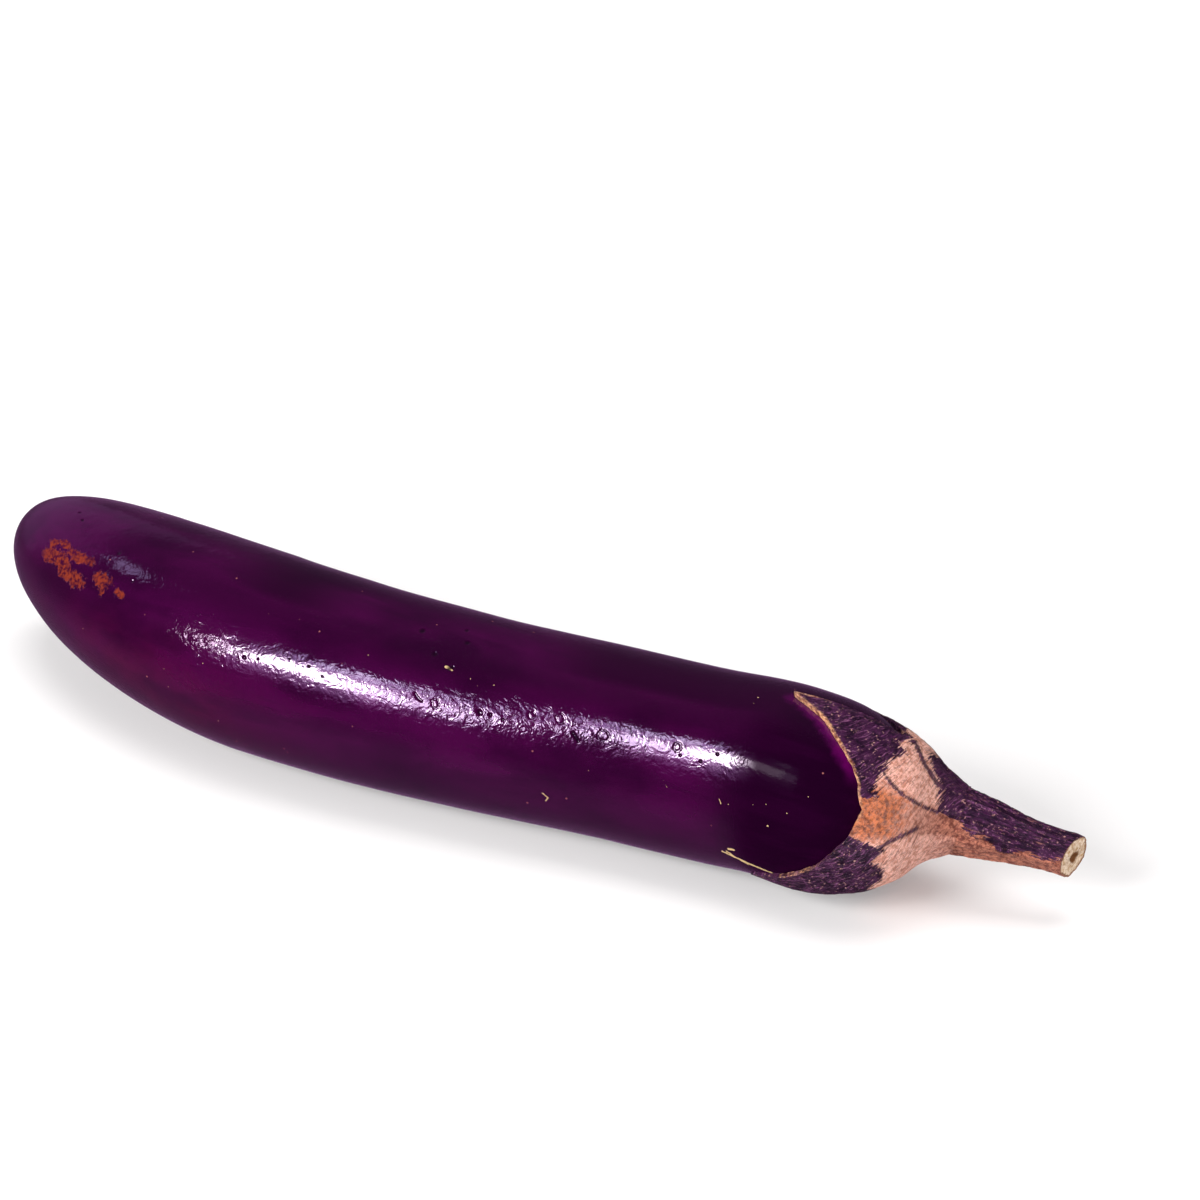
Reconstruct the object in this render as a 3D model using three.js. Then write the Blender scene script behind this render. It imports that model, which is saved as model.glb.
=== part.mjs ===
// A long eggplant lying on its side: the fruit, the lobed calyx over its shoulder and the cut stem.
// Millimetres, +Z up, the floor at z = 0, +X from the blossom end to the stem end.
import * as THREE from "three";

// Where the blossom tip lies in the part's frame
const tipX = -139;
const tipY = 20.4;

// Places along the part are distances from the blossom tip, along X
const shoulderStart = 200;
const fruitEnd = 243.8;
const neckEnd = 252;
const rootStart = 247.3;
const stemEnd = 279.3;

// The axis: [distance, sideways bow] and [distance, height above the floor]
const bow = [
  [0, 0],
  [18, -8.3],
  [40, -16],
  [70, -22.5],
  [105, -24.1],
  [140, -21.5],
  [175, -17.3],
  [205, -15.2],
  [230, -15.6],
  [245, -11.4],
  [258, -8.1],
  [stemEnd, -3.1],
];
const height = [
  [0, 24.4],
  [40, 23.9],
  [80, 23.4],
  [110, 22.8],
  [140, 22.1],
  [170, 21.6],
  [195, 21.5],
  [214, 22.7],
  [230, 22.9],
  [240, 22.2],
  [251, 20.8],
  [266, 17.6],
  [stemEnd, 15.1],
];

// Radii by distance
const fullRadius = 23.8;
const fullAt = 82;
const tipBluntness = 0.412;
const shoulderRadius = 22;
const shoulderFullness = 4.6;
const bodyRadius = [
  [fullAt, fullRadius],
  [110, 23.25],
  [140, 22.5],
  [170, 22.05],
  [shoulderStart, shoulderRadius],
];
const calyxRadius = [
  [208, 23.1],
  [216, 22.95],
  [221, 22.5],
  [226, 21.9],
  [231, 20.7],
  [236, 18.6],
  [242, 14.9],
  [247, 10.1],
  [neckEnd, 7.2],
];
const stemRadius = [
  [neckEnd, 7.2],
  [258, 6.4],
  [266, 5.1],
  [274, 4.6],
  [stemEnd, 4.5],
];

// The calyx: a leathery cap that stands clear of the fruit
const gap = 0.3;
const fruitClearance = 0.5;
const rimThickness = 0.55;
const ribHeight = 0.6;
const ribHalfWidth = 9;
const rootRadius = 5;
const socketFloor = rootStart - gap;

// Each lobe's edge as [angle, distance], from one valley over the tip to the next valley.
// Angles are degrees round the axis, 0 at the -Y side and 90 at the top.
const lobes = [
  {
    up: [[28, 233.1], [48, 231.4], [66, 227.8], [80, 223], [92, 214.5]],
    down: [[92, 214.5], [95, 222], [96.5, 232], [101, 239]],
  },
  {
    up: [[101, 239], [115, 237.5], [130, 234], [145, 224]],
    down: [[145, 224], [150, 229], [155, 233], [163, 235.5]],
  },
  {
    up: [[163, 235.5], [176, 230], [186, 222], [194, 212]],
    down: [[194, 212], [203, 222], [215, 231], [231, 235.5]],
  },
  {
    up: [[231, 235.5], [244, 233], [254, 229], [263, 224]],
    down: [[263, 224], [272, 228], [283, 232], [296, 235]],
  },
  {
    up: [[296, 235], [304, 228], [311, 219], [318, 210]],
    down: [[318, 210], [327, 219], [344, 227.4], [372, 232.2], [388, 233.1]],
  },
];

// The stem: soft lengthwise ridges and a slanting cut, which leaves it shortest at one angle
const ridgeCount = 5;
const ridgeDepth = 0.06;
const cutBevel = 0.7;
const cutSlant = 2.1;
const cutFacing = 12;
const pithRadius = 1.6;
const pithDepth = 0.8;

// Mesh fineness
const fruitSides = 40;
const edgeSteps = 3;
const stemSides = 30;

// A smooth curve through [where, value] knots, by cubic pieces with Catmull-Rom slopes
function through(knots, where) {
  const last = knots.length - 1;
  const rise = (i) => (knots[i + 1][1] - knots[i][1]) / (knots[i + 1][0] - knots[i][0]);
  const run = (i) => knots[i + 1][0] - knots[i][0];
  const slope = (i) => {
    if (i === 0) return rise(0);
    if (i === last) return rise(last - 1);
    return (rise(i - 1) * run(i) + rise(i) * run(i - 1)) / (run(i) + run(i - 1));
  };
  let i = 0;
  while (i < last - 1 && where > knots[i + 1][0]) i += 1;
  const h = run(i);
  const t = (where - knots[i][0]) / h;
  const start = (2 * t ** 3 - 3 * t ** 2 + 1) * knots[i][1] + (t ** 3 - 2 * t ** 2 + t) * h * slope(i);
  const end = (3 * t ** 2 - 2 * t ** 3) * knots[i + 1][1] + (t ** 3 - t ** 2) * h * slope(i + 1);
  return start + end;
}

function axisPoint(distance) {
  return new THREE.Vector3(
    tipX + distance,
    tipY + through(bow, distance),
    through(height, distance),
  );
}

// The point on the cross-section at a distance, at an angle in degrees and a radius
function onSection(distance, angle, radius) {
  const step = 0.2;
  const along = axisPoint(distance + step).sub(axisPoint(distance - step)).normalize();
  const side = along.clone().cross(new THREE.Vector3(0, 0, 1)).normalize();
  const up = side.clone().cross(along);
  const turn = THREE.MathUtils.degToRad(angle);
  return axisPoint(distance)
    .addScaledVector(side, radius * Math.cos(turn))
    .addScaledVector(up, radius * Math.sin(turn));
}

function fruitRadius(distance) {
  if (distance < fullAt) {
    const share = (fullAt - distance) / fullAt;
    return fullRadius * Math.max(1 - share ** 2, 0) ** tipBluntness;
  }
  if (distance < shoulderStart) return through(bodyRadius, distance);
  const share = (distance - shoulderStart) / (fruitEnd - shoulderStart);
  return shoulderRadius * Math.sqrt(Math.max(1 - share ** shoulderFullness, 0));
}

// A closed mesh from rings of equal length, with a single point before the first and after the last
function closedSkin(firstPole, rings, lastPole) {
  const sides = rings[0].length;
  const points = [firstPole, ...rings.flat(), lastPole];
  const at = (ring, side) => 1 + ring * sides + (side % sides);
  const faces = [];
  for (let side = 0; side < sides; side += 1) {
    faces.push(0, at(0, side), at(0, side + 1));
    faces.push(points.length - 1, at(rings.length - 1, side + 1), at(rings.length - 1, side));
    for (let ring = 0; ring < rings.length - 1; ring += 1) {
      faces.push(at(ring, side), at(ring + 1, side), at(ring, side + 1));
      faces.push(at(ring, side + 1), at(ring + 1, side), at(ring + 1, side + 1));
    }
  }
  const geometry = new THREE.BufferGeometry().setFromPoints(points);
  geometry.setIndex(faces);
  geometry.computeVertexNormals();
  return geometry;
}

function named(name, geometry, color, roughness) {
  const material = new THREE.MeshStandardMaterial({ color, roughness, metalness: 0 });
  const mesh = new THREE.Mesh(geometry, material);
  mesh.name = name;
  return mesh;
}

// Distances of the fruit's rings: close together on both rounded ends
function fruitStations() {
  const quarter = (share) => 1 - Math.cos((share * Math.PI) / 2);
  const blossom = [0.05, 0.12, 0.2, 0.29, 0.39, 0.5, 0.62, 0.75, 0.88, 1];
  const stations = blossom.map((share) => fullAt * quarter(share));
  const bodySteps = 14;
  for (let i = 1; i <= bodySteps; i += 1) {
    stations.push(fullAt + ((shoulderStart - fullAt) * i) / bodySteps);
  }
  const shoulderSteps = 10;
  for (let i = 1; i < shoulderSteps; i += 1) {
    const share = Math.sin((i / shoulderSteps) * (Math.PI / 2));
    stations.push(shoulderStart + (fruitEnd - shoulderStart) * share);
  }
  return stations;
}

// The fruit, flattened a little along the line it rests on
function makeFruit() {
  const rings = fruitStations().map((distance) => {
    const ring = [];
    for (let i = 0; i < fruitSides; i += 1) {
      const point = onSection(distance, -90 + (360 * i) / fruitSides, fruitRadius(distance));
      point.z = Math.max(point.z, 0);
      ring.push(point);
    }
    return ring;
  });
  const geometry = closedSkin(axisPoint(0), rings, axisPoint(fruitEnd));
  return named("fruit", geometry, 0x3d0f45, 0.22);
}

// A point of a lobe's edge, share 0 to 1 along its knots
function alongEdge(knots, share) {
  const place = share * (knots.length - 1);
  const angle = through(knots.map((knot, i) => [i, knot[0]]), place);
  const distance = through(knots.map((knot, i) => [i, knot[1]]), place);
  return { angle, distance };
}

// The whole rim of the calyx, round all the lobes in turn
function rimColumns() {
  const columns = [];
  for (const lobe of lobes) {
    for (const edge of [lobe.up, lobe.down]) {
      const count = edgeSteps * (edge.length - 1);
      for (let i = 0; i < count; i += 1) {
        columns.push({ ...alongEdge(edge, i / count), lobe });
      }
    }
  }
  return columns;
}

// The calyx's outer radius: its profile with a soft rib from the neck to each lobe's tip
function calyxOuter(distance, angle, lobe) {
  const tipAngle = lobe.down[0][0];
  const off = (angle - tipAngle) / ribHalfWidth;
  const fade = THREE.MathUtils.smoothstep(distance, lobe.down[0][1], lobe.down[0][1] + 12);
  return through(calyxRadius, distance) + ribHeight * fade * Math.exp(-(off ** 2));
}

// A point of the calyx's inner face, clear of the fruit along the fruit's own normal
function calyxInner(distance, angle) {
  const step = 0.02;
  const inside = Math.min(distance, fruitEnd - step);
  const fall = (fruitRadius(inside - step) - fruitRadius(inside + step)) / (2 * step);
  const length = Math.hypot(fall, 1);
  const radius = fruitRadius(inside) + fruitClearance / length;
  return onSection(inside + (fruitClearance * fall) / length, angle, radius);
}

function makeCalyx() {
  const columns = rimColumns();
  const even = (i) => lobes[0].up[0][0] + (360 * i) / columns.length;
  const neckAngle = (i) => (even(i) + columns[i].angle) / 2;
  const rings = [];

  // Inside, from the fruit's end out to the rim
  const innerShares = [0.97, 0.9, 0.8, 0.7, 0.58, 0.45, 0.3, 0.15, 0];
  for (const share of innerShares) {
    rings.push(
      columns.map(({ angle, distance }, i) => {
        const turned = THREE.MathUtils.lerp(angle, neckAngle(i), share ** 0.7);
        const reach = distance + (fruitEnd - distance) * Math.sin((share * Math.PI) / 2);
        return calyxInner(reach, turned);
      }),
    );
  }

  // The rim's outer edge, then outside from the rim back to the neck
  rings.push(
    columns.map(({ angle, distance }) =>
      onSection(distance, angle, fruitRadius(distance) + fruitClearance + rimThickness),
    ),
  );
  const outerShares = [0.95, 0.78, 0.6, 0.45, 0.32, 0.2, 0.1, 0];
  for (const share of outerShares) {
    rings.push(
      columns.map(({ angle, distance, lobe }, i) => {
        const turned = THREE.MathUtils.lerp(neckAngle(i), angle, share ** 0.7);
        const reach = THREE.MathUtils.lerp(neckEnd, distance, share);
        return onSection(reach, turned, calyxOuter(reach, turned, lobe));
      }),
    );
  }

  // The socket for the stem's root
  for (const distance of [neckEnd, socketFloor]) {
    rings.push(columns.map((column, i) => onSection(distance, neckAngle(i), rootRadius + gap)));
  }
  const geometry = closedSkin(axisPoint(fruitEnd + fruitClearance), rings, axisPoint(socketFloor));
  return named("calyx", geometry, 0x6b4a52, 0.7);
}

function makeStem() {
  const rings = [];
  const endRadius = through(stemRadius, stemEnd);
  const ring = (distance, radius, depth, slant = 0) => {
    const points = [];
    for (let i = 0; i < stemSides; i += 1) {
      const angle = (360 * i) / stemSides;
      const ridge = 1 + depth * Math.cos(THREE.MathUtils.degToRad(ridgeCount * angle));
      const facing = Math.cos(THREE.MathUtils.degToRad(angle - cutFacing));
      const back = slant * (1 + (facing * radius) / endRadius);
      points.push(onSection(distance - back, angle, radius * ridge));
    }
    rings.push(points);
  };
  ring(rootStart, rootRadius, 0);
  ring(neckEnd + gap, rootRadius, 0);
  ring(neckEnd + gap, through(stemRadius, neckEnd), 0);
  const steps = 10;
  for (let i = 1; i < steps; i += 1) {
    const distance = neckEnd + ((stemEnd - neckEnd) * i) / steps;
    const slant = cutSlant * (i / steps) ** 4;
    ring(distance, through(stemRadius, distance), ridgeDepth * Math.min(i / 3, 1), slant);
  }
  ring(stemEnd - cutBevel, endRadius, ridgeDepth, cutSlant);
  ring(stemEnd, endRadius - cutBevel, ridgeDepth, cutSlant);
  ring(stemEnd, pithRadius, 0, cutSlant);
  ring(stemEnd - pithDepth, pithRadius / 2, 0, cutSlant);
  const pithFloor = axisPoint(stemEnd - cutSlant - pithDepth);
  const geometry = closedSkin(axisPoint(rootStart), rings, pithFloor);
  return named("stem", geometry, 0x6a4a5a, 0.75);
}

const eggplant = new THREE.Group();
eggplant.add(makeFruit(), makeCalyx(), makeStem());
export default eggplant;
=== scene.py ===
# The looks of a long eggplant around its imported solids: skin, calyx and stem as fine meshes with
# procedural materials, on a plain pale floor in soft studio light.
# Shapes are worked out in millimetres and stored in metres, in the solids' own frame.
import math

import bmesh
import bpy
import numpy as np
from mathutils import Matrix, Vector


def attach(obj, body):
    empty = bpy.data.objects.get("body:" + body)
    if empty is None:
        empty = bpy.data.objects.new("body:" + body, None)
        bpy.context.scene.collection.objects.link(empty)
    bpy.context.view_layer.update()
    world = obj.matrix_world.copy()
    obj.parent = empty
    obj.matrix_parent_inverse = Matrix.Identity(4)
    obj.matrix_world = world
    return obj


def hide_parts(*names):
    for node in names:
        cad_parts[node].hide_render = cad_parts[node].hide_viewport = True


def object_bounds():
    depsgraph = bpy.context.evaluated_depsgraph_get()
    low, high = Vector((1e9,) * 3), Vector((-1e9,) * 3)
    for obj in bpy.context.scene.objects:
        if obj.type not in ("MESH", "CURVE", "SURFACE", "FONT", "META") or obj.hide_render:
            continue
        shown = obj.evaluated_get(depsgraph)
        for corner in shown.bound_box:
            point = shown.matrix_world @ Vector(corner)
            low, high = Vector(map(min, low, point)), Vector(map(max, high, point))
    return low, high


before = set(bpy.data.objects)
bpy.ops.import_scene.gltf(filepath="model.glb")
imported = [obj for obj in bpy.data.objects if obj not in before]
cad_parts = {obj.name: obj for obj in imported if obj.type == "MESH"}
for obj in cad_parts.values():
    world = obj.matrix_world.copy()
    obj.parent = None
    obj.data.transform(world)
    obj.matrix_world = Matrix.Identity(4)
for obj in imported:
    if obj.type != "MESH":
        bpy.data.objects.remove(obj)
cad_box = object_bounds()

MM = 0.001

# The axis of the part, as in its source: [distance from the blossom tip, value]
TIP_X = -139.0
TIP_Y = 20.4
SHOULDER_START = 200.0
FRUIT_END = 243.8
NECK_END = 252.0
STEM_END = 279.3
BOW = [
    [0, 0], [18, -8.3], [40, -16], [70, -22.5], [105, -24.1], [140, -21.5], [175, -17.3],
    [205, -15.2], [230, -15.6], [245, -11.4], [258, -8.1], [STEM_END, -3.1],
]
HEIGHT = [
    [0, 24.4], [40, 23.9], [80, 23.4], [110, 22.8], [140, 22.1], [170, 21.6], [195, 21.5],
    [214, 22.7], [230, 22.9], [240, 22.2], [251, 20.8], [266, 17.6], [STEM_END, 15.1],
]

# Radii by distance
FULL_RADIUS = 23.8
FULL_AT = 82.0
TIP_BLUNTNESS = 0.412
SHOULDER_RADIUS = 22.0
SHOULDER_FULLNESS = 4.6
BODY_RADIUS = [[FULL_AT, 23.8], [110, 23.25], [140, 22.5], [170, 22.05], [SHOULDER_START, 22]]
CALYX_RADIUS = [
    [208, 23.1], [216, 22.95], [221, 22.5], [226, 21.9], [231, 20.7], [236, 18.6],
    [242, 14.9], [247, 10.1], [NECK_END, 7.2],
]
STEM_RADIUS = [[NECK_END, 7.2], [258, 6.4], [266, 5.1], [274, 4.6], [STEM_END, 4.5]]

# Each lobe of the calyx, as [angle, distance] from one valley over the tip to the next valley.
# Angles are degrees round the axis: 0 is the -Y side, 90 the top.
LOBES = [
    {
        "up": [[28, 233.1], [48, 231.4], [66, 227.8], [80, 223], [92, 214.5]],
        "down": [[92, 214.5], [95, 222], [96.5, 232], [101, 239]],
    },
    {
        "up": [[101, 239], [115, 237.5], [130, 234], [145, 224]],
        "down": [[145, 224], [150, 229], [155, 233], [163, 235.5]],
    },
    {
        "up": [[163, 235.5], [176, 230], [186, 222], [194, 212]],
        "down": [[194, 212], [203, 222], [215, 231], [231, 235.5]],
    },
    {
        "up": [[231, 235.5], [244, 233], [254, 229], [263, 224]],
        "down": [[263, 224], [272, 228], [283, 232], [296, 235]],
    },
    {
        "up": [[296, 235], [304, 229.2], [311, 221.6], [318, 213.0]],
        "down": [[318, 213.0], [327, 220.0], [344, 227.4], [372, 232.2], [388, 233.1]],
    },
]


# Curves and surfaces

def through(knots, where):
    """A smooth curve through [where, value] knots, by cubic pieces with Catmull-Rom slopes."""
    table = np.array(knots, float)
    place = table[:, 0]
    value = table[:, 1]
    run = np.diff(place)
    rise = np.diff(value) / run
    slope = np.empty(len(place))
    slope[0] = rise[0]
    slope[-1] = rise[-1]
    slope[1:-1] = (rise[:-1] * run[1:] + rise[1:] * run[:-1]) / (run[1:] + run[:-1])
    where = np.asarray(where, float)
    i = np.clip(np.searchsorted(place, where, side="left") - 1, 0, len(run) - 1)
    h = run[i]
    t = (where - place[i]) / h
    start = (2 * t ** 3 - 3 * t ** 2 + 1) * value[i] + (t ** 3 - 2 * t ** 2 + t) * h * slope[i]
    end = (3 * t ** 2 - 2 * t ** 3) * value[i + 1] + (t ** 3 - t ** 2) * h * slope[i + 1]
    return start + end


def smoothstep(low, high, value):
    share = np.clip((value - low) / (high - low), 0, 1)
    return share * share * (3 - 2 * share)


def bell(offset, width):
    return np.exp(-(offset / width) ** 2)


def unit(vectors):
    return vectors / np.linalg.norm(vectors, axis=-1, keepdims=True)


def axis_point(distance):
    distance = np.asarray(distance, float)
    return np.stack(
        [TIP_X + distance, TIP_Y + through(BOW, distance), through(HEIGHT, distance)], -1
    )


def section_frame(distance):
    """Unit vectors along the axis, to its side and up, at each distance."""
    step = 0.2
    along = unit(axis_point(distance + step) - axis_point(distance - step))
    side = unit(np.cross(along, [0.0, 0.0, 1.0]))
    return along, side, np.cross(side, along)


def on_section(distance, angle, radius):
    """Points on the cross-sections at the distances, at angles in degrees and radii."""
    _, side, up = section_frame(distance)
    turn = np.radians(angle)[..., None]
    outward = np.cos(turn) * side + np.sin(turn) * up
    return axis_point(distance) + np.asarray(radius)[..., None] * outward


def fruit_radius(distance):
    distance = np.asarray(distance, float)
    share = (FULL_AT - distance) / FULL_AT
    blossom = FULL_RADIUS * np.clip(1 - share ** 2, 0, None) ** TIP_BLUNTNESS
    past = np.clip(distance - SHOULDER_START, 0, None) / (FRUIT_END - SHOULDER_START)
    shoulder = SHOULDER_RADIUS * np.sqrt(np.clip(1 - past ** SHOULDER_FULLNESS, 0, None))
    body = through(BODY_RADIUS, distance)
    return np.where(distance < FULL_AT, blossom, np.where(distance < SHOULDER_START, body, shoulder))


# Noise worked out at mesh points

def cell_value(cells, seed):
    """A repeatable number from -1 to 1 for each whole-number cell."""
    x, y, z = (cells[..., i].astype(np.int64) for i in range(3))
    mixed = (x * 73856093) ^ (y * 19349663) ^ (z * 83492791) ^ (seed * 40503)
    mixed = ((mixed ^ (mixed >> 13)) * 1274126177) & 0x7FFFFFFF
    mixed = ((mixed ^ (mixed >> 15)) * 747796405) & 0x7FFFFFFF
    return ((mixed >> 8) & 0xFFFF) / 32767.5 - 1


def lumps(points, size, seed=1):
    """Smooth noise from -1 to 1 with features about size across, in the points' unit."""
    scaled = np.asarray(points, float) / size
    base = np.floor(scaled)
    part = scaled - base
    part = part * part * (3 - 2 * part)
    total = 0
    for corner in range(8):
        offset = np.array([corner & 1, (corner >> 1) & 1, corner >> 2])
        weight = np.prod(np.where(offset == 1, part, 1 - part), axis=-1)
        total = total + weight * cell_value(base + offset, seed)
    return total


def rough(points, size, octaves=3, seed=1):
    """Several sizes of noise added up, each half the size and half the strength of the last."""
    total = 0
    for octave in range(octaves):
        total = total + lumps(points, size / 2 ** octave, seed + octave) / 2 ** octave
    return total


def creases(points, size, octaves=3, seed=1):
    """Noise folded into sharp creases: 0 in a crease, near 1 between creases."""
    total = 0
    weight = 0
    for octave in range(octaves):
        share = 1 / 1.7 ** octave
        total = total + share * np.abs(lumps(points, size / 2 ** octave, seed + octave))
        weight += share
    return np.clip(total / weight * 2, 0, 1)


# Meshes

def grid_faces(rows, columns):
    """Quads between the rows of a grid of points, round all its columns."""
    row = np.arange(rows - 1)[:, None]
    column = np.arange(columns)[None, :]
    right = (column + 1) % columns
    corners = [row * columns + column, row * columns + right,
               (row + 1) * columns + right, (row + 1) * columns + column]
    return np.stack([np.broadcast_to(c, (rows - 1, columns)) for c in corners], -1).reshape(-1, 4)


def build_mesh(name, points, quads, fans=()):
    """A smooth-shaded object from points in millimetres, quads and fans of triangles round a pole."""
    faces = [list(map(int, quad)) for quad in quads]
    for pole, ring in fans:
        count = len(ring)
        for i in range(count):
            faces.append([int(pole), int(ring[i]), int(ring[(i + 1) % count])])
    mesh = bpy.data.meshes.new(name)
    mesh.from_pydata((points * MM).tolist(), [], faces)
    mesh.shade_smooth()
    piece = bpy.data.objects.new(name, mesh)
    bpy.context.scene.collection.objects.link(piece)
    return piece


def within(points):
    """The points, in millimetres, kept inside the solids' own box."""
    return np.clip(points, np.array(cad_box[0]) / MM, np.array(cad_box[1]) / MM)


def mesh_points(mesh):
    found = np.empty(len(mesh.vertices) * 3)
    mesh.vertices.foreach_get("co", found)
    return found.reshape(-1, 3)


def refine(mesh, wanted):
    """Cuts each face in four where wanted says so of the faces' middles."""
    solid = bmesh.new()
    solid.from_mesh(mesh)
    middles = np.array([face.calc_center_median()[:] for face in solid.faces])
    chosen = wanted(middles)
    edges = {edge for face, pick in zip(solid.faces, chosen) if pick for edge in face.edges}
    bmesh.ops.subdivide_edges(solid, edges=list(edges), cuts=1, use_grid_fill=True)
    solid.to_mesh(mesh)
    solid.free()


def store(piece, **fields):
    """Keeps a number or a vector for each mesh point, for the material to read."""
    for name, values in fields.items():
        values = np.asarray(values, np.float32)
        vector = values.ndim == 2
        kind = "FLOAT_VECTOR" if vector else "FLOAT"
        layer = piece.data.attributes.new(name, kind, "POINT")
        layer.data.foreach_set("vector" if vector else "value", values.ravel())


def finish_piece(piece, material, node):
    piece.data.materials.append(material)
    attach(piece, "root")
    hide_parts(node)


# Shader nodes

def add_node(tree, kind, inputs=(), **settings):
    """A new node. An input is another node's output, or a value for the socket itself."""
    node = tree.nodes.new(kind)
    for key, value in settings.items():
        setattr(node, key, value)
    for key, value in dict(inputs).items():
        socket = node.inputs[key]
        if isinstance(value, bpy.types.NodeSocket):
            tree.links.new(value, socket)
        else:
            socket.default_value = value
    return node


class Shading:
    """Adds nodes to one material; each call returns the new node's output."""

    def __init__(self, name):
        self.material = bpy.data.materials.new(name)
        self.material.use_nodes = True
        self.tree = self.material.node_tree
        self.tree.nodes.clear()

    def add(self, kind, inputs=(), **settings):
        return add_node(self.tree, kind, inputs, **settings)

    def place(self):
        return self.add("ShaderNodeTexCoord").outputs["Object"]

    def field(self, name):
        return self.add("ShaderNodeAttribute", attribute_name=name).outputs["Fac"]

    def vector_field(self, name):
        return self.add("ShaderNodeAttribute", attribute_name=name).outputs["Vector"]

    def stretched(self, vector, scale):
        node = self.add("ShaderNodeVectorMath", {0: vector, 1: scale}, operation="MULTIPLY")
        return node.outputs[0]

    def noise(self, vector, scale, detail=2.0, roughness=0.5, distortion=0.0):
        inputs = {
            "Vector": vector, "Scale": scale, "Detail": detail,
            "Roughness": roughness, "Distortion": distortion,
        }
        return self.add("ShaderNodeTexNoise", inputs).outputs["Fac"]

    def cells(self, vector, scale, feature="F1", output="Distance", randomness=1.0):
        inputs = {"Vector": vector, "Scale": scale, "Randomness": randomness}
        return self.add("ShaderNodeTexVoronoi", inputs, feature=feature).outputs[output]

    def math(self, operation, first, second=0.0, third=0.0):
        inputs = {0: first, 1: second, 2: third}
        return self.add("ShaderNodeMath", inputs, operation=operation).outputs[0]

    def plus(self, first, second):
        return self.math("ADD", first, second)

    def times(self, first, second):
        return self.math("MULTIPLY", first, second)

    def larger(self, first, second):
        return self.math("MAXIMUM", first, second)

    def step(self, value, low, high, start=0.0, end=1.0):
        """start below low, end above high, and a smooth change between."""
        inputs = {"Value": value, "From Min": low, "From Max": high, "To Min": start, "To Max": end}
        node = self.add("ShaderNodeMapRange", inputs, interpolation_type="SMOOTHSTEP")
        return node.outputs["Result"]

    def blend(self, share, first, second):
        inputs = {0: share}
        for key, colour in ((6, first), (7, second)):
            inputs[key] = colour if isinstance(colour, bpy.types.NodeSocket) else (*colour, 1.0)
        return self.add("ShaderNodeMix", inputs, data_type="RGBA", clamp_factor=True).outputs[2]

    def bump(self, height, distance, normal=None, strength=1.0):
        inputs = {"Height": height, "Distance": distance, "Strength": strength}
        if normal is not None:
            inputs["Normal"] = normal
        return self.add("ShaderNodeBump", inputs).outputs["Normal"]

    def close(self, **inputs):
        named = {key.replace("_", " "): value for key, value in inputs.items()}
        shader = self.add("ShaderNodeBsdfPrincipled", named)
        self.add("ShaderNodeOutputMaterial", {"Surface": shader.outputs["BSDF"]})
        return self.material


# The fruit's skin

SKIN_COLUMNS_FRONT = 134
SKIN_COLUMNS_BACK = 70
SKIN_ROW_PITCH = 0.72
HIDDEN_ROWS = 12
HIDDEN_FROM = 236
SKIN_MAP_RADIUS = 23.0
POLE_GAP = 0.15
SHOULDER_POLE_GAP = 0.2
HIGHLIGHT_ANGLE = 38

# Corky scars as blobs on the skin: [distance, angle, half length, half width] in mm and degrees
SCAR_BLOBS = [
    [27.5, 37, 3.2, 2.4], [26.6, 45, 1.6, 1.6], [30.5, 49, 2.4, 1.2], [32.5, 38, 3.6, 2.6],
    [37.5, 46, 4.6, 1.6], [35.5, 33, 4.4, 2.2], [39.5, 32, 3.6, 2.2], [40.5, 47, 2.2, 1.2],
    [47.6, 40, 3.0, 2.2], [48.8, 34, 0.9, 1.3], [54.0, 37.5, 1.7, 1.2],
]
# Round pits: [distance, angle, radius]
PITS = [
    [89.5, 30, 0.42], [92.7, 31.5, 0.22], [100.0, 37, 0.2], [105.0, 36, 0.38], [108.5, 32.5, 0.2],
    [145.5, 34, 0.75], [147.9, 34.3, 0.55], [150.9, 33, 0.35], [200.2, 34, 0.4], [204.2, 40, 0.3],
    [28.9, 71.5, 0.5], [25.4, 77, 0.45], [47.2, 60, 0.6], [55.7, 48, 0.4], [131.4, 62, 0.7],
    [126.2, 75.5, 0.8], [135.4, 85, 0.6], [137.2, 75, 0.7], [194.4, 35.5, 0.3],
]
# Ring marks with a sunken edge: [distance, angle, radius]
RINGS = [
    [135.2, 33.5, 0.9], [163.9, 40.5, 1.1], [174.9, 36.5, 1.3], [193.4, 39.5, 0.9], [157.2, 39, 0.8],
]
# Long pits: [distance, angle, distance, angle, half width]
GROOVES = [
    [130.0, 36.5, 130.6, 34.5, 0.36], [130.6, 34.5, 131.8, 33, 0.36],
    [167.6, 34, 169.2, 30, 0.5], [135.9, 55, 136.6, 56.5, 0.5],
]
# Pale healed scratches: [distance, angle, distance, angle, half width, strength]
SCRATCHES = [
    [206.2, -23, 211.0, -27, 0.28, 1], [211.0, -27, 218.7, -34, 0.36, 1], [208.0, -22, 213.5, -31, 0.22, 1],
    [209.0, -19.5, 211.0, -19.2, 0.3, 1], [161.7, -7.5, 163.0, -10, 0.14, 0.7],
    [163.0, -10, 162.4, -12.5, 0.12, 0.7], [191.0, 19, 192.2, 15, 0.12, 0.6],
    [206.7, 14.0, 207.4, 11.5, 0.14, 0.7], [177.0, -14, 179.5, -15.5, 0.1, 0.4],
    [135.0, 55.8, 136.6, 54.6, 0.22, 1], [183.0, -12, 189.0, -16, 0.09, 0.28],
    [152.0, 4, 166.0, -1.5, 0.08, 0.28],
]
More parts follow.
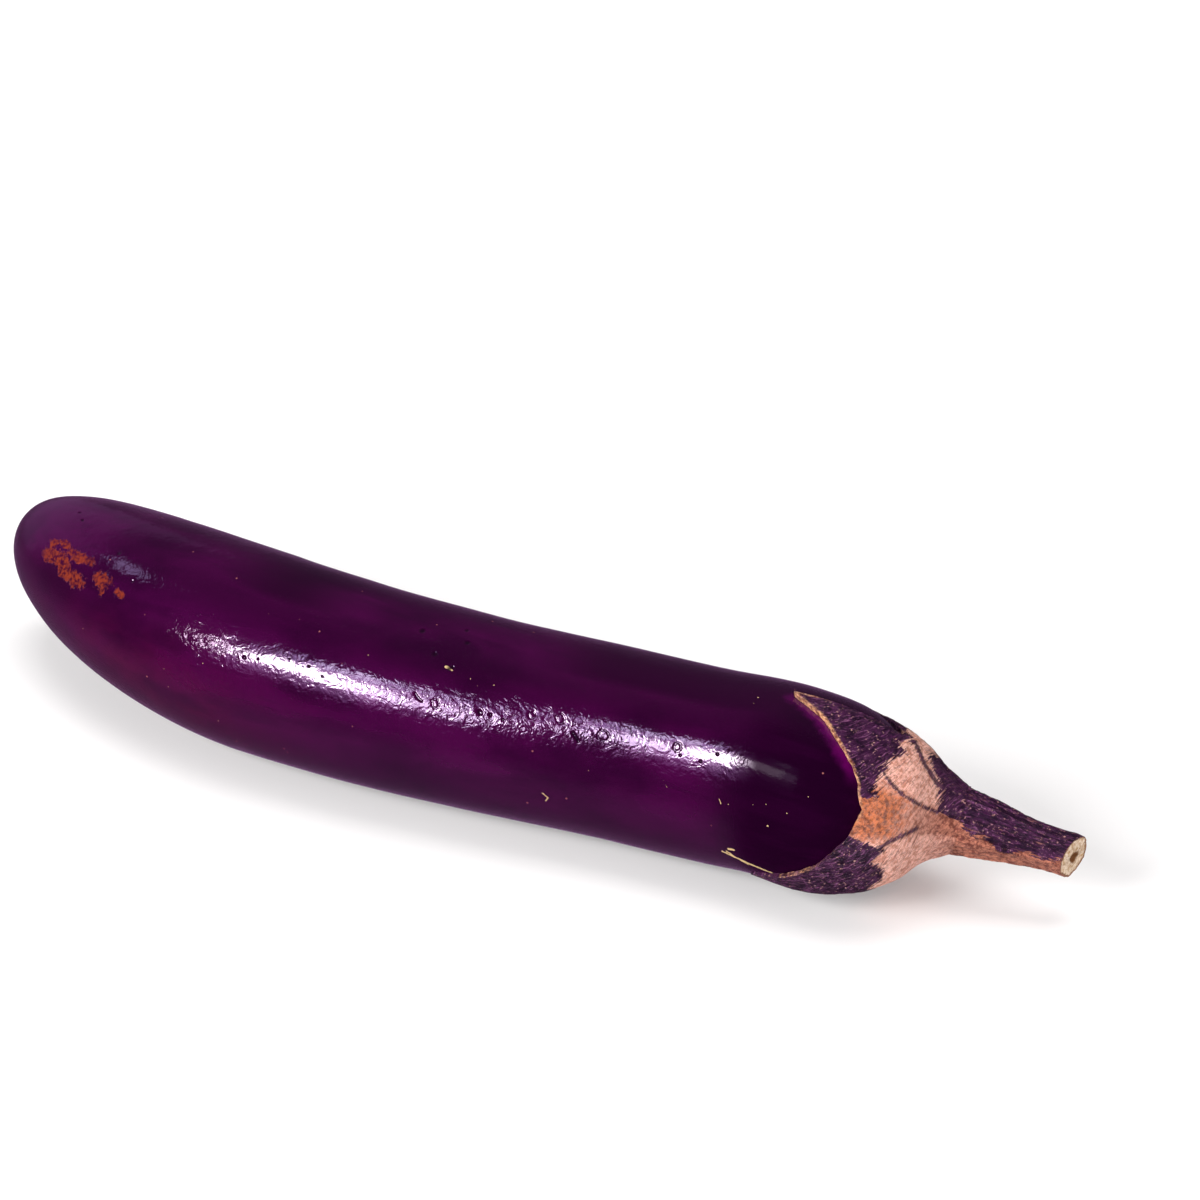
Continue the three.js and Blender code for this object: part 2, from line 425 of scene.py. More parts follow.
# Pale dots: [distance, angle, radius]
DOTS = [
    [209.9, 12, 0.16], [216.2, 16, 0.2], [218.9, 18.5, 0.26], [222.9, 16.5, 0.2], [219.7, 5.5, 0.24],
    [225.7, 29.5, 0.2], [208.2, 82, 0.26], [208.2, 76, 0.14], [172.7, 14, 0.2], [45.5, 5.5, 0.24],
    [70.7, 7.5, 0.18], [80.2, 19.5, 0.24], [71.7, -3, 0.18], [84.0, -14.5, 0.22], [141.5, 52, 0.2],
    [143.5, 49, 0.22], [147.0, 51.5, 0.2], [117.0, 51, 0.22],
]


def spread(count, low, high):
    return np.linspace(low, high, count, endpoint=False)


def skin_angles():
    """Columns round the skin, closer together on the front and top."""
    front = spread(SKIN_COLUMNS_FRONT, -65, 115)
    back = spread(SKIN_COLUMNS_BACK, 115, 295)
    return np.concatenate([front, back])


def skin_distances():
    """Rows along the skin, evenly apart over the surface, then coarser under the calyx."""
    blossom_end = FULL_AT * (1 - np.cos(np.linspace(0, math.pi / 2, 4001)))
    fine = np.concatenate([blossom_end, np.linspace(82.01, HIDDEN_FROM, 4000)])
    step = np.hypot(np.diff(fine), np.diff(fruit_radius(fine)))
    length = np.concatenate([[0], np.cumsum(step)])
    count = int(length[-1] / SKIN_ROW_PITCH)
    shown = np.interp(np.linspace(0.35, length[-1], count), length, fine)
    turn = np.linspace(0, math.pi / 2, HIDDEN_ROWS + 2)[1:-1]
    hidden = HIDDEN_FROM + (FRUIT_END - HIDDEN_FROM) * np.sin(turn)
    return np.concatenate([shown, hidden])


def rim_points(per_knot=16):
    """Angle and distance along the whole edge of the calyx."""
    angles = []
    distances = []
    for lobe in LOBES:
        for knots in (lobe["up"], lobe["down"]):
            count = per_knot * (len(knots) - 1)
            place = np.arange(count) / per_knot
            angles.append(through([[i, k[0]] for i, k in enumerate(knots)], place))
            distances.append(through([[i, k[1]] for i, k in enumerate(knots)], place))
    return np.concatenate(angles), np.concatenate(distances)


def nearest(points, targets, block=4000):
    """The distance from each point to the nearest target."""
    found = np.empty(len(points))
    for start in range(0, len(points), block):
        part = points[start:start + block]
        gap = part[:, None, :] - targets[None, :, :]
        found[start:start + block] = np.sqrt((gap ** 2).sum(-1).min(1))
    return found


def skin_map(distance, angle):
    """Places on the flat map of the skin: millimetres along it and round it."""
    return np.stack([np.asarray(distance, float), np.radians(angle) * SKIN_MAP_RADIUS], -1)


def line_distance(places, start, end):
    """Millimetres on the flat map from each place to the line between two others."""
    reach = end - start
    share = ((places - start) @ reach) / max(float(reach @ reach), 1e-9)
    foot = start + np.clip(share, 0, 1)[..., None] * reach
    return np.linalg.norm(places - foot, axis=-1)


def scar_field(places):
    """Over 0 inside a scar, falling below outside."""
    field = np.full(places.shape[:-1], -9.0)
    for at, turn, half_length, half_width in SCAR_BLOBS:
        offset = (places - skin_map(at, turn)) / [half_length, half_width]
        field = np.maximum(field, 1 - np.linalg.norm(offset, axis=-1))
    return field


def mark_fields(places):
    """How much each place is in a pit, in the sunken edge of a ring mark, and in a pale mark."""
    shape = places.shape[:-1]
    spots = np.concatenate([places, np.zeros((*shape, 1))], -1)
    wobble = 0.12 * lumps(spots, 0.7, 71) + 0.06 * lumps(spots, 0.33, 72)
    pit = np.zeros(shape)
    ring = np.zeros(shape)
    pale = np.zeros(shape)
    for at, turn, radius in PITS:
        there = skin_map(at, turn)
        off = line_distance(places, there, there) + wobble
        pit = np.maximum(pit, smoothstep(radius * 1.3, radius * 0.3, off))
    for at, turn, end, end_turn, half in GROOVES:
        off = line_distance(places, skin_map(at, turn), skin_map(end, end_turn)) + wobble
        pit = np.maximum(pit, smoothstep(half * 1.4, half * 0.3, off))
    for at, turn, radius in RINGS:
        there = skin_map(at, turn)
        off = np.abs(line_distance(places, there, there) + 2 * wobble - radius)
        ring = np.maximum(ring, smoothstep(0.4, 0.05, off))
    for at, turn, end, end_turn, half, strength in SCRATCHES:
        off = line_distance(places, skin_map(at, turn), skin_map(end, end_turn)) + 1.3 * wobble
        pale = np.maximum(pale, strength * smoothstep(half * 1.5, half * 0.5, off))
    for at, turn, radius in DOTS:
        there = skin_map(at, turn)
        off = line_distance(places, there, there) + 0.5 * wobble
        pale = np.maximum(pale, 0.8 * smoothstep(radius, radius * 0.3, off))
    return pit, ring, pale


def mark_reach(places):
    """Millimetres from each place to the nearest pit, ring or pale mark."""
    found = np.full(len(places), 99.0)
    for at, turn, radius in PITS + RINGS + DOTS:
        there = skin_map(at, turn)
        found = np.minimum(found, line_distance(places, there, there) - radius)
    for at, turn, end, end_turn, half, *_ in GROOVES + SCRATCHES:
        line = line_distance(places, skin_map(at, turn), skin_map(end, end_turn))
        found = np.minimum(found, line - half)
    return found


def make_skin(material):
    angle, distance = np.meshgrid(skin_angles(), skin_distances())
    rows, columns = distance.shape

    # The faces are laid out on the flat map, where they are cut finer round the marks
    flat = np.stack([distance, angle, 0 * angle], -1).reshape(-1, 3)
    flat = np.concatenate([flat, [[POLE_GAP, 0, 0], [FRUIT_END - SHOULDER_POLE_GAP, 0, 0]]])
    last_ring = (rows - 1) * columns + np.arange(columns)
    fans = [(rows * columns, np.arange(columns)[::-1]), (rows * columns + 1, last_ring)]
    piece = build_mesh("fruit_skin", flat / MM, grid_faces(rows, columns)[:, ::-1], fans)
    mesh = piece.data
    refine(mesh, lambda m: scar_field(skin_map(m[:, 0], m[:, 1])) > -0.5)
    refine(mesh, lambda m: mark_reach(skin_map(m[:, 0], m[:, 1])) < 0.9)
    refine(mesh, lambda m: mark_reach(skin_map(m[:, 0], m[:, 1])) < 0.45)
    laid = mesh_points(mesh)
    distance = laid[:, 0]
    angle = laid[:, 1]
    pole = (distance <= POLE_GAP) | (distance >= FRUIT_END - SHOULDER_POLE_GAP)
    plain_radius = np.where(pole, 0, fruit_radius(distance))
    base = on_section(distance, angle, plain_radius)
    places = skin_map(distance, angle)

    # Slow swells, faint lengthwise flats, cork, pits and rings; both ends stay calm
    calm = smoothstep(0, 14, distance)
    swell = 0.14 * lumps(base, 34, 3) + 0.07 * lumps(base, 13, 5) + 0.022 * lumps(base, 5.2, 8)
    flats = 0.03 * lumps(base * [0.22, 1, 1], 4.2, 11)
    off = np.radians(np.clip(angle - HIGHLIGHT_ANGLE, -60, 60))
    shoulder = smoothstep(135, 185, distance) * smoothstep(240, 222, distance)
    flats = flats + 0.85 * shoulder * np.sin(3 * off) * np.cos(1.5 * off) ** 2
    scar = np.maximum(scar_field(places), 0.5 - plain_radius / 3.4)
    cork = smoothstep(-0.15, 0.35, scar) * (0.05 + 0.09 * rough(base, 1.6, 2, 17))
    tuck = -0.25 * smoothstep(228, HIDDEN_FROM, distance)
    pit, ring, pale = mark_fields(places)
    dents = -0.22 * pit - 0.1 * ring + 0.05 * pale
    lift = calm * (swell + flats - 0.12) + cork + tuck + dents
    skin = on_section(distance, angle, np.where(pole, 0, plain_radius + lift))
    mesh.vertices.foreach_set("co", (within(skin) * MM).ravel())
    mesh.update()

    rim_angle, rim_distance = rim_points()
    rim = on_section(rim_distance, rim_angle, fruit_radius(rim_distance))
    wine = smoothstep(60, 0, np.abs(distance - 62))
    wine = wine * smoothstep(45, -20, angle) * smoothstep(-100, -40, angle)
    # Painted shade: darker above, where it faces away from the front, near the blossom end, towards the calyx
    # and on the underside, with a band near the top painted lighter
    dusk = 0.5 * bell(angle - 60, 15) * smoothstep(20, 75, distance)
    dusk = np.maximum(dusk, 0.65 * bell(distance - 33, 15) * bell(angle - 22, 15))
    shade = smoothstep(145, 172, distance) + bell(distance - 92, 17)
    dusk = np.maximum(dusk, 0.8 * smoothstep(58, 74, angle) * np.clip(shade, 0, 1))
    dusk = dusk * (1 - 0.9 * bell(distance - 118, 13) * bell(angle - 85, 14))
    dusk = np.maximum(dusk, 0.97 * smoothstep(190, 222, distance) * smoothstep(-95, -55, angle))
    dusk = np.maximum(dusk, 0.5 * smoothstep(8, -28, angle) * smoothstep(-120, -80, angle))
    # Deeper creases where the bright stripe starts and along its right half
    rippled = 0.42 + 0.5 * bell(distance - 79, 10) + 0.5 * bell(distance - 153, 26)
    rippled = rippled * smoothstep(217, 209, distance) + 0.12
    # The gloss dies away beside the calyx
    gloss = smoothstep(215.5, 206.5, distance)
    gloss = 1 - 0.98 * (1 - gloss) * smoothstep(74, 58, angle) * smoothstep(-60, -30, angle)
    store(
        piece, scar=scar, pit=pit, ring=ring, pale=pale, angle=angle, wine=wine, dusk=dusk,
        rim_gap=nearest(base, rim), rippled=rippled, gloss=gloss,
    )
    finish_piece(piece, material, "fruit")
    return piece


def skin_material():
    """Dark glossy aubergine skin with fine ripples, pits, corky scars and pale flecks."""
    s = Shading("aubergine_skin")
    place = s.place()
    along = s.stretched(place, (0.16, 1.0, 1.0))

    # Colour: violet-black with slow drifts and faint lengthwise streaks
    drift = s.noise(s.stretched(place, (0.5, 1.0, 1.0)), 60.0, 3.0, 0.55)
    fine_drift = s.noise(place, 120.0, 3.0, 0.6)
    streak = s.noise(along, 420.0, 3.0, 0.6)
    wide_streak = s.noise(along, 150.0, 2.0, 0.5)
    colour = s.blend(s.step(drift, 0.36, 0.62), (0.021, 0.0005, 0.018), (0.042, 0.0010, 0.033))
    wine = s.times(s.field("wine"), s.step(fine_drift, 0.25, 0.7, 0.35, 1.0))
    colour = s.blend(wine, colour, (0.058, 0.0012, 0.026))
    # Painted shade, with a painted lighter band near the top, from the field laid on the mesh
    colour = s.blend(s.field("dusk"), colour, (0.0085, 0.0003, 0.008))
    colour = s.blend(s.step(wide_streak, 0.5, 0.7, 0.0, 0.45), colour, (0.016, 0.0005, 0.014))
    colour = s.blend(s.step(streak, 0.5, 0.8, 0.0, 0.45), colour, (0.017, 0.0006, 0.015))

    # Magenta where the calyx has kept the light off, above all beside the front lobe
    rim_gap = s.field("rim_gap")
    angle = s.field("angle")
    ragged = s.plus(rim_gap, s.times(s.noise(place, 320.0, 3.0, 0.6), 3.0))
    glow = s.step(ragged, 4.6, 1.4)
    upper = s.times(s.step(angle, 38.0, 58.0), s.step(angle, 105.0, 78.0))
    colour = s.blend(s.times(glow, s.plus(s.times(upper, 0.85), 0.05)), colour, (0.095, 0.0010, 0.078))

    # Corky scars: a ragged net of orange-brown, with skin showing through its holes
    net = s.noise(place, 700.0, 4.0, 0.7, 0.8)
    scar_edge = s.plus(s.field("scar"), s.times(s.plus(net, -0.5), 2.6))
    scar = s.step(scar_edge, -0.02, 0.2)
    mottle = s.step(s.noise(place, 1100.0, 4.0, 0.7, 0.5), 0.36, 0.62)
    cork = s.blend(mottle, (0.04, 0.0045, 0.012), (0.19, 0.027, 0.013))
    colour = s.blend(s.times(scar, s.step(mottle, 0.0, 0.6, 0.35, 0.92)), colour, cork)

    # Random flecks, most of them tiny and reddish
    fleck_cells = s.cells(place, 210.0)
    fleck_pick = s.cells(place, 210.0, output="Color")
    picked = s.step(fleck_pick, 0.52, 0.60)
    flecks = s.times(s.step(fleck_cells, 0.06, 0.02), picked)
    colour = s.blend(s.times(flecks, 0.7), colour, (0.36, 0.12, 0.11))

    # Marks at their own places
    pale = s.step(s.plus(s.field("pale"), s.times(s.plus(s.noise(place, 1900.0, 2.0), -0.5), 0.5)), 0.35, 0.6)
    dried = s.blend(s.noise(place, 2200.0, 2.0), (0.62, 0.46, 0.24), (0.34, 0.24, 0.10))
    colour = s.blend(pale, colour, dried)
    pit = s.field("pit")
    ring = s.field("ring")
    colour = s.blend(s.times(s.larger(pit, s.times(ring, 0.5)), 0.9), colour, (0.006, 0.0008, 0.006))

    # Relief: creased ripples, fine grain, the marks
    ripple = s.noise(s.stretched(place, (0.8, 1.0, 1.0)), 340.0, 1.0, 0.5, 1.5)
    crease = s.math("ABSOLUTE", s.plus(s.noise(place, 470.0, 1.0, 0.5, 1.8), -0.5))
    grain = s.noise(place, 2600.0, 2.0, 0.5)
    relief = s.times(s.plus(ripple, s.times(crease, 0.8)), s.field("rippled"))
    normal = s.bump(relief, 0.00012)
    normal = s.bump(grain, 0.000002, normal)
    raised = s.times(scar, s.noise(place, 1100.0, 3.0, 0.6))
    normal = s.bump(raised, 0.00014, normal)

    dull = s.larger(scar, pale)
    roughness = s.plus(s.times(s.noise(place, 60.0, 3.0), 0.06), 0.15)
    roughness = s.plus(roughness, s.times(dull, 0.38))
    gloss = s.field("gloss")
    coat = s.times(s.step(dull, 0.0, 0.6, 1.0, 0.0), gloss)
    return s.close(
        Base_Color=colour, Roughness=roughness, Normal=normal, Coat_Weight=coat,
        Coat_Roughness=0.095, Coat_IOR=1.62, Coat_Normal=normal, Specular_IOR_Level=0.0,
        Sheen_Weight=0.13, Sheen_Roughness=0.25, Sheen_Tint=(0.80, 0.36, 0.85, 1),
    )


# The calyx

CALYX_KNOT_COLUMNS = 14
CALYX_ROWS = 150
FLESH = 0.95
RIB_HEIGHT = 0.6
RIB_HALF_WIDTH = 9.0

# Where the purple of each lobe ends on its way to the neck: [angle, distance]
PURPLE_END = [
    [-64, 232], [-56, 237.5], [-40, 236.5], [-32, 238.5], [-20, 238.5], [-9, 236.4], [-4, 237.5],
    [1, 238.5],
    [4, 236], [9, 233], [13, 229], [33, 229], [37, 235.6], [46, 235], [56, 235.8], [66, 236.6],
    [76, 238.6], [84, 237.6], [92, 240], [101, 240.5], [110, 236], [124, 238.5], [138, 240],
    [150, 237], [163, 231], [176, 238], [194, 240], [212, 238], [231, 231], [246, 237], [263, 239],
    [280, 237], [296, 232],
]
# Dark veins: [distance, angle] lines with their half width in millimetres
VEINS = [
    {"line": [[234.9, 57.5], [237.1, 49.5], [239.8, 43.0], [243.7, 39.5], [247.5, 38]], "half": 0.42},
    {"line": [[235.5, 1], [237.6, 4], [240.7, 10.5], [244.0, 17]], "half": 0.55},
    {"line": [[240.3, 93.5], [242.9, 79], [246.2, 71], [249, 72]], "half": 0.8},
    {"line": [[239, 138], [243, 136], [248, 128]], "half": 0.7},
    {"line": [[238, 194], [243, 190], [248, 180]], "half": 0.7},
    {"line": [[238, 263], [243, 262], [248, 262]], "half": 0.5},
]


def neck_start(angle):
    """Where the stem's purple begins on the way up from the calyx."""
    knots = [
        [-180, 247], [-160, 252], [-140, 262], [-60, 262], [20, 258], [34, 252], [39, 247.2],
        [72, 246.8], [84, 244.5], [100, 243], [140, 245], [180, 247],
    ]
    table = np.array(knots)
    turned = (angle + 180) % 360 - 180
    return np.interp(turned, table[:, 0], table[:, 1])


STEM_LOW = [
    [252, 33], [254, 20], [258, 18], [262, -4], [265, 2], [267, 12], [270, 4], [273.3, 8],
    [275.4, 22], [279, 16],
]
STEM_HIGH = [[252, 190], [256, 204], [262, 196], [268, 210], [273, 200], [279, 206]]


def stem_purple(distance, angle):
    """Over 0 on the purple part of the stem, in millimetres round it."""
    radius = through(STEM_RADIUS, np.clip(distance, NECK_END, STEM_END))
    low = np.interp(distance, *np.array(STEM_LOW, float).T)
    high = np.interp(distance, *np.array(STEM_HIGH, float).T)
    turned = (angle + 90) % 360 - 90
    return np.radians(np.minimum(turned - low, high - turned)) * radius


def line_gap(distance, angle, line):
    """Millimetres from each place to a line of [distance, angle] points, over the calyx."""
    knots = np.array(line, float)
    radius = through(CALYX_RADIUS, np.clip(distance, 208, NECK_END))
    found = np.full(np.shape(distance), 99.0)
    for (d0, a0), (d1, a1) in zip(knots[:-1], knots[1:]):
        slant = 1.35
        x = (distance - d0) * slant
        y = np.radians((angle - a0 + 180) % 360 - 180) * radius
        dx = (d1 - d0) * slant
        dy = math.radians(a1 - a0) * radius
        share = np.clip((x * dx + y * dy) / (dx * dx + dy * dy), 0, 1)
        found = np.minimum(found, np.hypot(x - share * dx, y - share * dy))
    return found


def calyx_purple(distance, angle):
    """Over 0 where the calyx is purple, in millimetres."""
    table = np.array(PURPLE_END, float)
    turned = (angle + 64) % 360 - 64
    lobe = np.interp(turned, table[:, 0], table[:, 1], period=360) - distance
    neck = distance - neck_start(angle)
    return np.maximum(lobe, neck)


def calyx_veins(distance, angle):
    """Over 0 on a dark vein, in millimetres."""
    field = np.full(np.shape(distance), -9.0)
    for vein in VEINS:
        field = np.maximum(field, vein["half"] - line_gap(distance, angle, vein["line"]))
    return field


def stem_ridges(distance, angle):
    """The stem's blunt ridges and grooves, which start on the calyx."""
    turn = np.radians(angle)
    wander = 0.25 * np.sin(distance / 7.0)
    blunt = 0.55 * np.cos(5 * turn + 0.5 + wander) + 0.3 * np.cos(3 * turn - 0.9 + wander)
    fine = 0.28 * np.cos(13 * turn + 1.1 - wander) + 0.16 * np.cos(23 * turn + 2.0 * wander)
    return blunt + fine


def rim_columns():
    """The calyx's columns: rim angle and distance, and the angle of the lobe's rib."""
    angles = []
    distances = []
    ribs = []
    for lobe in LOBES:
        for knots in (lobe["up"], lobe["down"]):
            count = CALYX_KNOT_COLUMNS * (len(knots) - 1)
            place = np.arange(count) / CALYX_KNOT_COLUMNS
            angles.append(through([[i, k[0]] for i, k in enumerate(knots)], place))
            distances.append(through([[i, k[1]] for i, k in enumerate(knots)], place))
            ribs.append(np.full((count, 2), lobe["down"][0]))
    return np.concatenate(angles), np.concatenate(distances), np.concatenate(ribs)


def make_calyx(material):
    rim_angle, rim_distance, rib = rim_columns()
    columns = len(rim_angle)
    even = LOBES[0]["up"][0][0] + 360 * np.arange(columns) / columns
    neck_angle = (even + rim_angle) / 2

    # A slightly ragged edge
    edge = on_section(rim_distance, rim_angle, fruit_radius(rim_distance))
    rim_distance = rim_distance + 0.28 * rough(edge, 2.6, 3, 41)
    edge = on_section(rim_distance, rim_angle, fruit_radius(rim_distance) + 0.4)

    # Rows from the neck out to the rim, closer together near the rim
    share = np.linspace(0, 1, CALYX_ROWS) ** 0.9
    share = share[:, None]
    angle = neck_angle + (rim_angle - neck_angle) * share ** 0.7
    distance = NECK_END + 0.4 + (rim_distance - NECK_END - 0.4) * share
    cap = through(CALYX_RADIUS, np.minimum(distance, NECK_END))
    off = (angle - rib[:, 0]) / RIB_HALF_WIDTH
    cap = cap + RIB_HEIGHT * smoothstep(rib[:, 1], rib[:, 1] + 12, distance) * np.exp(-(off ** 2))
    low = fruit_radius(np.minimum(distance, FRUIT_END)) + FLESH
    plain = on_section(distance, angle, cap)
    tip_angle, tip_distance = np.array(LOBES[-1]["down"][0], float)[:, None]
    front_tip = on_section(tip_distance, tip_angle, fruit_radius(tip_distance))
    # Thinner at the tip of the lower front lobe and along the lobe behind the upper outline
    thinner = smoothstep(11, 2, np.linalg.norm(plain - front_tip[0], axis=-1))
    far = smoothstep(95, 105, angle) * smoothstep(165, 150, angle) * smoothstep(241, 236, distance)
    low = low - 0.42 * thinner - 0.7 * far
    gap = nearest(plain.reshape(-1, 3), edge).reshape(plain.shape[:2])
    near = smoothstep(3.5, 0, gap) * (distance < 238)
    radius = cap * (1 - near) + np.minimum(low, cap) * near

    # Relief: a raised bead along the edge, leathery wrinkles, veins, and ridges towards the stem
    purple = calyx_purple(distance, angle)
    reach = through(CALYX_RADIUS, np.minimum(distance, NECK_END))
    around = np.radians((angle + 150) % 360) * reach
    flow = np.stack([distance * 0.45, around, 0 * angle], -1)
    bead = bell(gap - 0.4, 0.36) * (0.26 + 0.2 * lumps(plain, 1.0, 23))
    bead = bead * (1 - thinner) * (1 - far)
    thin = -0.35 * bell(gap, 0.25)
    wrinkle = 0.2 * (creases(flow, 1.9, 3, 29) - 0.5) * smoothstep(0.3, 1.6, gap)
    puff = 0.2 * rough(plain, 4.5, 2, 31)
    veins = 0
    for vein in VEINS:
        veins = veins + 0.22 * bell(line_gap(distance, angle, vein["line"]), 0.7)
    to_stem = smoothstep(236, 250, distance)
    ridge = to_stem * 0.7 * stem_ridges(distance, angle)
    peel = 0.07 * smoothstep(-0.1, 0.25, purple + 0.5 * rough(flow, 1.2, 2, 37))
    lift = bead + thin + wrinkle + puff * smoothstep(0.5, 4, gap) + veins + ridge + peel
    radius = radius + lift
    outer = on_section(distance, angle, radius)

    # The edge turns down into the skin, and the neck turns in under the stem
    skirt = []
    for drop in (0.35, 0.7, 1.25):
        skirt.append(on_section(rim_distance + 0.02 * drop, rim_angle, radius[-1] - drop))
    inward = []
    for shrink in (0.9, 0.75):
        inward.append(on_section(distance[0] + 0.1, angle[0], radius[0] * shrink))
    grid = np.concatenate([np.array(inward[::-1]), outer, np.array(skirt)])
    rows = len(grid)
    piece = build_mesh("calyx_cap", within(grid.reshape(-1, 3)), grid_faces(rows, columns))

    def all_rows(values):
        first = np.repeat(values[:1], 2, axis=0)
        last = np.repeat(values[-1:], 3, axis=0)
        return np.concatenate([first, values, last]).reshape(-1)

    store(
        piece,
        flow=np.stack([all_rows(distance), all_rows(around), 0 * all_rows(angle)], -1),
        purple=all_rows(purple),
        vein=all_rows(calyx_veins(distance, angle)),
        rim_gap=all_rows(gap),
        angle=all_rows((angle + 90) % 360 - 90),
        away=all_rows(distance),
    )
    finish_piece(piece, material, "calyx")
    return piece


def husk_colour(s, place, flow, purple_field):
    """The dark purple of calyx and stem, the share of the husk that has it, and two noises."""
    jag = s.noise(s.stretched(flow, (0.00028, 0.0013, 1.0)), 900.0, 4.0, 0.7, 0.5)
    speckle = s.noise(place, 1500.0, 3.0, 0.7)
    edge = s.plus(purple_field, s.times(s.plus(jag, -0.5), 7.0))
    edge = s.plus(edge, s.times(s.plus(speckle, -0.5), 2.2))
    purple_share = s.step(edge, -0.08, 0.2)

    # Purple: dark, with paler strokes along the flow, partly real streaks and partly painted glints, and fine
    # specks
    patch = s.noise(place, 420.0, 3.0, 0.65)
    dark = s.blend(s.step(patch, 0.36, 0.64), (0.008, 0.0010, 0.009), (0.046, 0.0070, 0.040))
    strokes_and_glints = s.step(s.noise(s.stretched(flow, (0.0007, 0.0015, 1.0)), 1250.0, 3.0, 0.7, 0.8), 0.53, 0.64)
    dark = s.blend(s.times(strokes_and_glints, 0.65), dark, (0.27, 0.085, 0.21))
    specks = s.step(s.noise(place, 1500.0, 2.0, 0.6), 0.63, 0.69)
    dark = s.blend(s.times(specks, 0.75), dark, (0.58, 0.30, 0.27))
    return dark, purple_share, speckle, jag


def husk_tan(s, place, flow, away):
    """The dried tan: pinkish on the lobes and brown from the neck on, with dark pores and grooves."""
    mottle = s.step(s.noise(place, 850.0, 4.0, 0.75), 0.38, 0.58)
    lobe = s.blend(mottle, (0.58, 0.235, 0.16), (0.92, 0.51, 0.42))
    stem = s.blend(mottle, (0.17, 0.04, 0.024), (0.50, 0.18, 0.11))
    tan = s.blend(s.step(away, 238.0, 250.0), lobe, stem)
    pores = s.step(s.noise(s.stretched(flow, (0.0007, 0.0012, 1.0)), 1300.0, 3.0, 0.7), 0.60, 0.69)
    groove = s.step(s.noise(s.stretched(flow, (0.00025, 0.0016, 1.0)), 1500.0, 3.0, 0.7), 0.56, 0.66)
    marks = s.larger(pores, s.times(groove, s.step(away, 243.0, 253.0)))
    veined = s.noise(s.stretched(flow, (0.0005, 0.0013, 1.0)), 650.0, 3.0, 0.6, 0.8)
    crack = s.step(s.math("ABSOLUTE", s.plus(veined, -0.5)), 0.028, 0.008)
    marks = s.larger(marks, s.times(crack, 0.75))
    return s.blend(s.times(marks, 0.85), tan, (0.10, 0.02, 0.02))


def calyx_material():
    """Leathery calyx: wrinkled purple lobes that dry to pinkish and golden tan."""
    s = Shading("calyx_husk")
    place = s.place()
    flow = s.vector_field("flow")
    dark, purple_share, speckle, jag = husk_colour(s, place, flow, s.field("purple"))
    vein = s.step(s.plus(s.plus(s.field("vein"), s.times(speckle, 0.9)), s.times(jag, 2.4)), 1.5, 1.9)
    purple_share = s.larger(purple_share, s.times(vein, 0.9))
    angle = s.field("angle")
    away = s.field("away")
    valley = s.times(s.step(angle, 2.0, 14.0), s.step(angle, 52.0, 38.0))
    valley = s.times(valley, s.step(s.plus(away, s.times(jag, 9.0)), 249.5, 242.0))
    gold_mottle = s.step(s.noise(place, 900.0, 4.0, 0.75), 0.38, 0.60)
    gold = s.blend(gold_mottle, (0.12, 0.022, 0.005), (0.60, 0.152, 0.036))
    browned = s.plus(away, s.times(s.larger(s.step(angle, 34.0, 52.0), s.step(angle, 12.0, 2.0)), -6.0))
    tan = s.blend(s.times(valley, 0.85), husk_tan(s, place, flow, browned), gold)
    colour = s.blend(purple_share, tan, dark)

    # The rim is a thin dried line, but for the lobe behind the upper outline
    rim_gap = s.plus(s.field("rim_gap"), s.times(s.plus(speckle, -0.5), 0.7))
    rim_gap = s.times(rim_gap, s.step(angle, 24.0, 10.0, 1.0, 1.6))
    from_far_lobe = s.math("ABSOLUTE", s.plus(angle, -128.0))
    rim = s.times(s.step(rim_gap, 0.95, 0.5), s.step(from_far_lobe, 18.0, 30.0))
    dried_mottle = s.step(s.noise(place, 1000.0, 3.0, 0.6), 0.33, 0.6)
    dried = s.blend(dried_mottle, (0.20, 0.05, 0.02), (0.95, 0.50, 0.26))
    colour = s.blend(rim, colour, dried)

    wrinkle = s.noise(s.stretched(flow, (0.0007, 0.0012, 1.0)), 900.0, 4.0, 0.65, 1.0)
    grain = s.noise(place, 3000.0, 3.0, 0.6)
    normal = s.bump(wrinkle, 0.0007)
    normal = s.bump(purple_share, 0.0001, normal)
    normal = s.bump(grain, 0.0001, normal)
    matt = s.step(purple_share, 0.0, 1.0, 0.62, 0.30)
    roughness = s.plus(s.times(speckle, 0.12), matt)
    return s.close(
        Base_Color=colour, Roughness=roughness, Normal=normal, Specular_IOR_Level=0.5,
    )


# The stem

STEM_COLUMNS = 200
STEM_ROWS = 150
CUT_ROWS = 26
PITH = 1.3
CUT_SLANT = 2.1
CUT_FACING = 12.0


